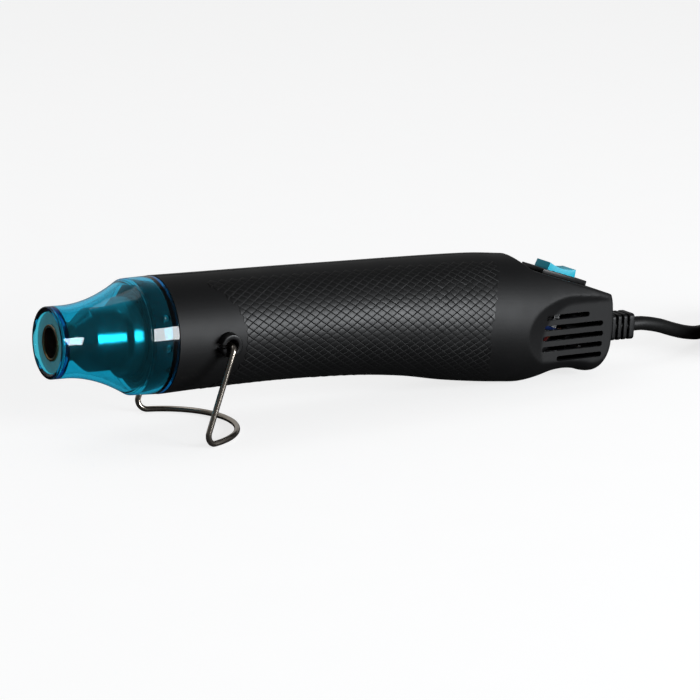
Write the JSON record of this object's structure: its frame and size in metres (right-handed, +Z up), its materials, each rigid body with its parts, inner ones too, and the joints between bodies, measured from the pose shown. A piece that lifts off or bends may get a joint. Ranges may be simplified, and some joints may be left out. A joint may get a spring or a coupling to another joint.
{
  "type": "embossing heat tool",
  "caption": "Straight hot-air embossing tool with see-through nozzle guard, stepped metal tube, rocker switch, vented grip, folding wire stand and mains cord.",
  "frame": {"origin": "on the surface the tool stands on, under the middle of the tool without its free cord", "axes": "+X towards the back of the grip, the nose towards -X; +Z up; -Y the flank the picture shows"},
  "size_m": [0.3869, 0.0911, 0.0592],
  "materials": {
    "grip_black": "fine matt grain",
    "guard_teal": "clear teal, polished",
    "shield_metal": "drawn sheet, blued by heat at the mouth",
    "holder_black": "heat-proof moulding",
    "mica": "pressed mica sheet",
    "heater_wire": "oxidised resistance wire",
    "fuse_white": "glazed",
    "tab_brass": "stamped sheet",
    "bearing_bronze": "sintered",
    "fan_white": "moulded",
    "mount_grey": "moulded",
    "screw_steel": "zinc plated",
    "can_steel": "nickel plated",
    "cap_white": "moulded",
    "magnet_grey": "pressed ferrite",
    "core_steel": "stacked sheet",
    "copper": "enamelled copper",
    "board_green": "coated board",
    "diode_black": "moulded",
    "capacitor_blue": "sleeved can",
    "bezel_black": "smooth",
    "rocker_cyan": "clear cyan, satin",
    "spring_steel": "bright wire",
    "lead_brown": "sheathed",
    "lead_blue": "sheathed",
    "lead_red": "sheathed",
    "lead_white": "sheathed",
    "lead_black": "sheathed",
    "lead_yellow": "sheathed",
    "clamp_black": "moulded",
    "relief_black": "soft moulding",
    "cord_black": "satin sheath",
    "wire_nickel": "nickel plated",
    "bush_black": "moulded",
    "tie_black": "moulded band",
    "plug_black": "moulded on the cord",
    "pin_nickel": "nickel plated brass"
  },
  "bodies": {
    "body": {"left_shell": "grip_black", "right_shell": "grip_black", "shell_screws": "screw_steel", "nozzle_guard": "guard_teal", "heat_shield": "shield_metal", "shield_holder": "holder_black", "mica_sleeve": "mica", "mica_washer": "mica", "upright_mica_card": "mica", "level_mica_card": "mica", "heating_coil": "heater_wire", "thermal_fuse": "fuse_white", "thermostat": "can_steel", "heater_terminals": "tab_brass", "motor_mount": "mount_grey", "motor_screws": "screw_steel", "motor_can": "can_steel", "motor_end_cap": "cap_white", "motor_bearings": "bearing_bronze", "motor_magnets": "magnet_grey", "brushes": "tab_brass", "motor_terminals": "tab_brass", "rectifier_board": "board_green", "diodes": "diode_black", "smoothing_capacitor": "capacitor_blue", "switch_housing": "bezel_black", "switch_terminals": "tab_brass", "spade_connectors": "can_steel", "live_lead": "lead_brown", "neutral_lead": "lead_blue", "full_heat_lead": "lead_red", "low_heat_lead": "lead_white", "heater_return_lead": "lead_black", "heater_tap_lead": "lead_yellow", "cord_clamp": "clamp_black", "clamp_screws": "screw_steel", "strain_relief": "relief_black", "cord_jacket": "cord_black", "left_pivot_bush": "bush_black", "right_pivot_bush": "bush_black", "power_cord": "cord_black", "cord_coil": "cord_black", "cord_tie": "tie_black", "plug_lead": "cord_black", "plug_body": "plug_black", "plug_pins": "pin_nickel"},
    "stand": {"stand_wire": "wire_nickel"},
    "rotor": {"fan": "fan_white", "motor_shaft": "spring_steel", "motor_armature": "core_steel", "armature_windings": "copper", "commutator": "copper"},
    "rocker": {"rocker": "rocker_cyan", "rocker_plunger": "fuse_white", "plunger_spring": "spring_steel"},
    "contact": {"contact_lever": "copper"}
  },
  "joints": [
    {"name": "stand_fold", "type": "hinge", "parent": "body", "child": "stand", "pos_m": [-0.06681, 0, 0.03591], "axis": [0, 1, 0], "range_deg": [-32, 70]},
    {"name": "rotor_spin", "type": "hinge", "parent": "body", "child": "rotor", "pos_m": [-0.02903, 0, 0.03463], "axis": [0.9989, 0, -0.0471], "continuous": true},
    {"name": "rocker_tilt", "type": "hinge", "parent": "body", "child": "rocker", "pos_m": [0.09094, 0, 0.03978], "axis": [0, 1, 0], "range_deg": [-10, 10]},
    {"name": "contact_tilt", "type": "hinge", "parent": "body", "child": "contact", "pos_m": [0.08769, 0, 0.03064], "axis": [0, 1, 0], "range_deg": [-6.5, 6.5]}
  ],
  "couplings": [
    {"joint": "contact_tilt", "follows": "rocker_tilt", "ratio": -0.6}
  ]
}
